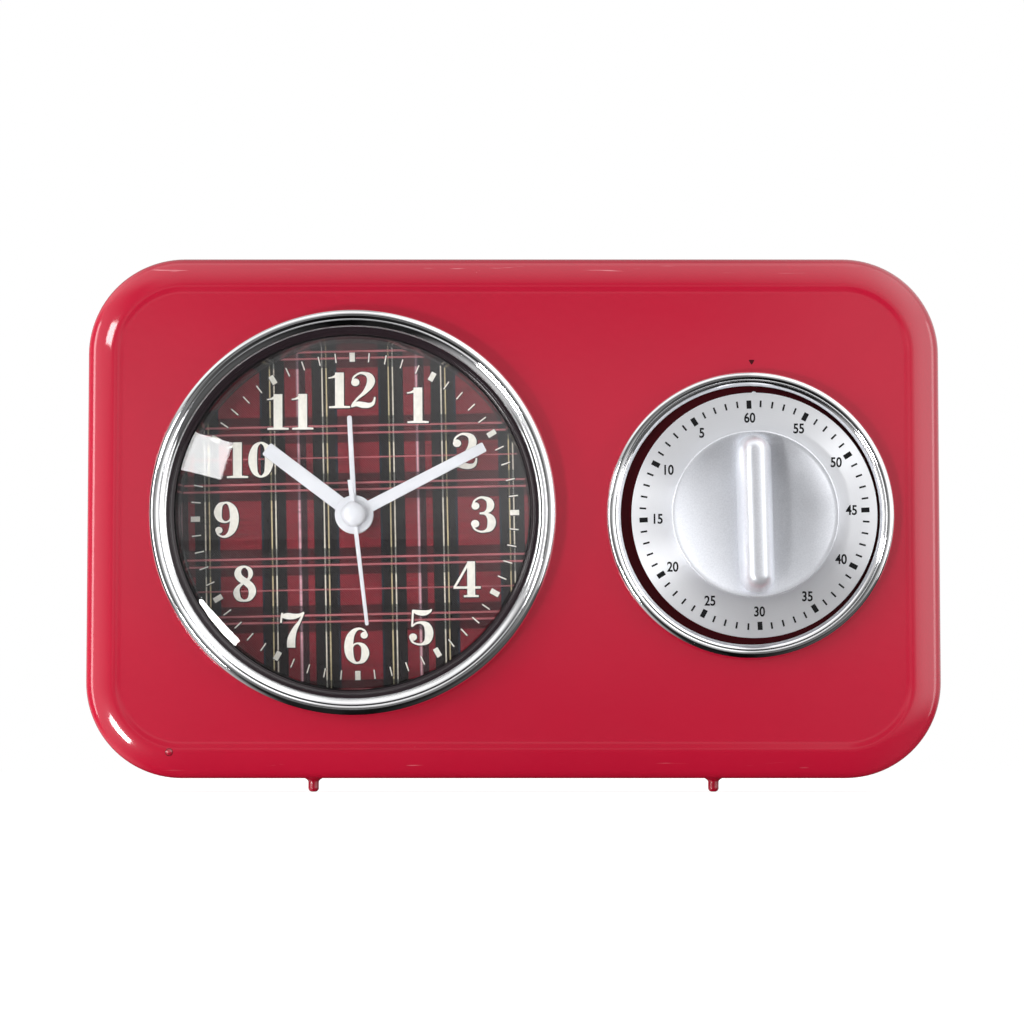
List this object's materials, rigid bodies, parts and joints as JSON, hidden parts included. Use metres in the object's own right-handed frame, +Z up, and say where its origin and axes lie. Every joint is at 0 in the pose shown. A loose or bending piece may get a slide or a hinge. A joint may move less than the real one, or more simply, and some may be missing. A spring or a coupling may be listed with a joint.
{
  "type": "wall clock with timer",
  "caption": "Kitchen wall clock in a rounded steel case: round dial with hands under a domed lens beside a wind-up minute timer with a grip knob; keyholes behind for wall screws.",
  "frame": {"origin": "centre of the rear cover's outer face, which lies on the wall", "axes": "+X right seen from the front, +Y into the wall, +Z up"},
  "size_m": [0.24, 0.059, 0.1504],
  "materials": {
    "red_paint": "glossy enamel",
    "black_plastic": "fine moulded grain",
    "chrome": "bright chrome plate",
    "clear_lens": "clear and polished",
    "cup_plastic": "moulded",
    "tartan_print": "printed, satin varnish",
    "white_enamel": "white enamel",
    "steel": "zinc plated",
    "gear_plastic": "moulded acetal",
    "plate_plastic": "moulded",
    "magnet": "sintered",
    "iron_sheet": "punched",
    "copper_wire": "enamelled winding",
    "board": "solder mask",
    "brass": "stamped and polished",
    "battery_sleeve": "plain wrapped sleeve",
    "spring_steel": "blued",
    "aluminium": "spun and lacquered",
    "satin_silver": "satin silver",
    "bell_metal": "nickel plated"
  },
  "bodies": {
    "case": {"front_case": "red_paint", "feet": "red_paint", "rear_cover": "black_plastic", "cover_brackets": "steel", "cover_screws": "steel", "clock_bezel": "chrome", "clock_lens": "clear_lens", "clock_cup": "cup_plastic", "bezel_screws": "steel", "clock_dial": "tartan_print", "dial_washer": "steel", "movement_nut": "steel", "movement_rear_case": "black_plastic", "movement_front_case": "black_plastic", "movement_plate": "plate_plastic", "stator": "iron_sheet", "coil": "copper_wire", "circuit_board": "board", "quartz_crystal": "steel", "buzzer": "brass", "battery": "battery_sleeve", "battery_contact_plus": "steel", "battery_contact_minus": "steel", "timer_ring": "chrome", "timer_ring_nuts": "steel", "timer_front_plate": "steel", "timer_rear_plate": "steel", "timer_pillars": "steel", "timer_pillar_screws": "steel", "timer_mount_screws": "steel", "timer_mainspring": "spring_steel", "timer_bell": "bell_metal", "bell_post": "steel", "bell_nut": "steel"},
    "rotor": {"rotor": "magnet"},
    "fifth_wheel": {"fifth_wheel": "gear_plastic"},
    "second_hand": {"second_wheel": "gear_plastic", "second_hand": "white_enamel"},
    "third_wheel": {"third_wheel": "gear_plastic"},
    "centre_wheel": {"centre_wheel": "gear_plastic"},
    "minute_hand": {"cannon_pinion": "gear_plastic", "minute_hand": "white_enamel"},
    "minute_wheel": {"minute_wheel": "gear_plastic"},
    "hour_hand": {"hour_wheel": "gear_plastic", "hour_hand": "white_enamel"},
    "setting_knob": {"setting_knob": "black_plastic"},
    "alarm_hand": {"alarm_wheel": "gear_plastic", "alarm_hand": "white_enamel"},
    "alarm_knob": {"alarm_knob": "black_plastic"},
    "alarm_switch": {"alarm_switch": "white_enamel"},
    "timer_knob": {"timer_knob": "satin_silver", "timer_disc": "aluminium", "timer_arbor": "steel", "timer_cam": "brass"},
    "timer_main_wheel": {"timer_main_wheel": "brass"},
    "timer_second_wheel": {"timer_second_wheel": "brass"},
    "timer_third_wheel": {"timer_third_wheel": "brass"},
    "timer_escape_wheel": {"timer_escape_wheel": "brass"},
    "timer_pallet_lever": {"timer_pallet_lever": "brass"},
    "timer_hammer": {"timer_hammer": "steel"}
  },
  "joints": [
    {"name": "rotor_turn", "type": "hinge", "parent": "case", "child": "rotor", "pos_m": [-0.02845, -0.02, 0.01253], "axis": [0, 1, 0], "continuous": true},
    {"name": "fifth_wheel_turn", "type": "hinge", "parent": "case", "child": "fifth_wheel", "pos_m": [-0.03634, -0.02, 0.00966], "axis": [0, 1, 0], "continuous": true},
    {"name": "second_hand_turn", "type": "hinge", "parent": "case", "child": "second_hand", "pos_m": [-0.045, -0.02, 0.001], "axis": [0, 1, 0], "continuous": true},
    {"name": "third_wheel_turn", "type": "hinge", "parent": "case", "child": "third_wheel", "pos_m": [-0.05531, -0.02, 0.00695], "axis": [0, 1, 0], "continuous": true},
    {"name": "centre_wheel_turn", "type": "hinge", "parent": "case", "child": "centre_wheel", "pos_m": [-0.045, -0.02, 0.001], "axis": [0, 1, 0], "continuous": true},
    {"name": "minute_hand_turn", "type": "hinge", "parent": "case", "child": "minute_hand", "pos_m": [-0.045, -0.02, 0.001], "axis": [0, 1, 0], "continuous": true},
    {"name": "minute_wheel_turn", "type": "hinge", "parent": "case", "child": "minute_wheel", "pos_m": [-0.045, -0.02, 0.008], "axis": [0, 1, 0], "continuous": true},
    {"name": "hour_hand_turn", "type": "hinge", "parent": "case", "child": "hour_hand", "pos_m": [-0.045, -0.02, 0.001], "axis": [0, 1, 0], "continuous": true},
    {"name": "setting_knob_turn", "type": "hinge", "parent": "case", "child": "setting_knob", "pos_m": [-0.045, -0.02, 0.01588], "axis": [0, 1, 0], "continuous": true},
    {"name": "alarm_knob_turn", "type": "hinge", "parent": "case", "child": "alarm_knob", "pos_m": [-0.03119, -0.02, -0.00403], "axis": [0, 1, 0], "continuous": true},
    {"name": "alarm_hand_turn", "type": "hinge", "parent": "case", "child": "alarm_hand", "pos_m": [-0.045, -0.02, 0.001], "axis": [0, 1, 0], "continuous": true},
    {"name": "alarm_switch_slide", "type": "slide", "parent": "case", "child": "alarm_switch", "axis": [1, 0, 0], "range_m": [0, 0.004]},
    {"name": "timer_knob_turn", "type": "hinge", "parent": "case", "child": "timer_knob", "pos_m": [0.0674, -0.02, 0.0002], "axis": [0, 1, 0], "range_deg": [0, 355]},
    {"name": "timer_escape_turn", "type": "hinge", "parent": "case", "child": "timer_escape_wheel", "pos_m": [0.0884, -0.02, -0.00075], "axis": [0, 1, 0], "continuous": true},
    {"name": "timer_third_wheel_turn", "type": "hinge", "parent": "case", "child": "timer_third_wheel", "pos_m": [0.0867, -0.02, 0.0089], "axis": [0, 1, 0], "continuous": true},
    {"name": "timer_second_wheel_turn", "type": "hinge", "parent": "case", "child": "timer_second_wheel", "pos_m": [0.07765, -0.02, 0.01795], "axis": [0, 1, 0], "continuous": true},
    {"name": "timer_main_wheel_turn", "type": "hinge", "parent": "case", "child": "timer_main_wheel", "pos_m": [0.0674, -0.02, 0.0002], "axis": [0, 1, 0], "continuous": true},
    {"name": "timer_pallet_rock", "type": "hinge", "parent": "case", "child": "timer_pallet_lever", "pos_m": [0.0884, -0.02, -0.00975], "axis": [0, 1, 0], "range_deg": [-3, 3]},
    {"name": "timer_hammer_swing", "type": "hinge", "parent": "case", "child": "timer_hammer", "pos_m": [0.0414, -0.02, 0.0122], "axis": [0, 1, 0], "range_deg": [-1.5, 6]}
  ],
  "couplings": [
    {"joint": "fifth_wheel_turn", "follows": "rotor_turn", "ratio": -0.2},
    {"joint": "second_hand_turn", "follows": "rotor_turn", "ratio": 0.033333},
    {"joint": "third_wheel_turn", "follows": "rotor_turn", "ratio": -0.0044444},
    {"joint": "centre_wheel_turn", "follows": "rotor_turn", "ratio": 0.00055556},
    {"joint": "minute_wheel_turn", "follows": "minute_hand_turn", "ratio": -0.33333},
    {"joint": "hour_hand_turn", "follows": "minute_hand_turn", "ratio": 0.083333},
    {"joint": "setting_knob_turn", "follows": "minute_hand_turn", "ratio": 0.66667},
    {"joint": "alarm_hand_turn", "follows": "alarm_knob_turn", "ratio": -0.2},
    {"joint": "timer_third_wheel_turn", "follows": "timer_escape_turn", "ratio": -0.16667},
    {"joint": "timer_second_wheel_turn", "follows": "timer_escape_turn", "ratio": 0.02381},
    {"joint": "timer_main_wheel_turn", "follows": "timer_escape_turn", "ratio": -0.0033069}
  ]
}
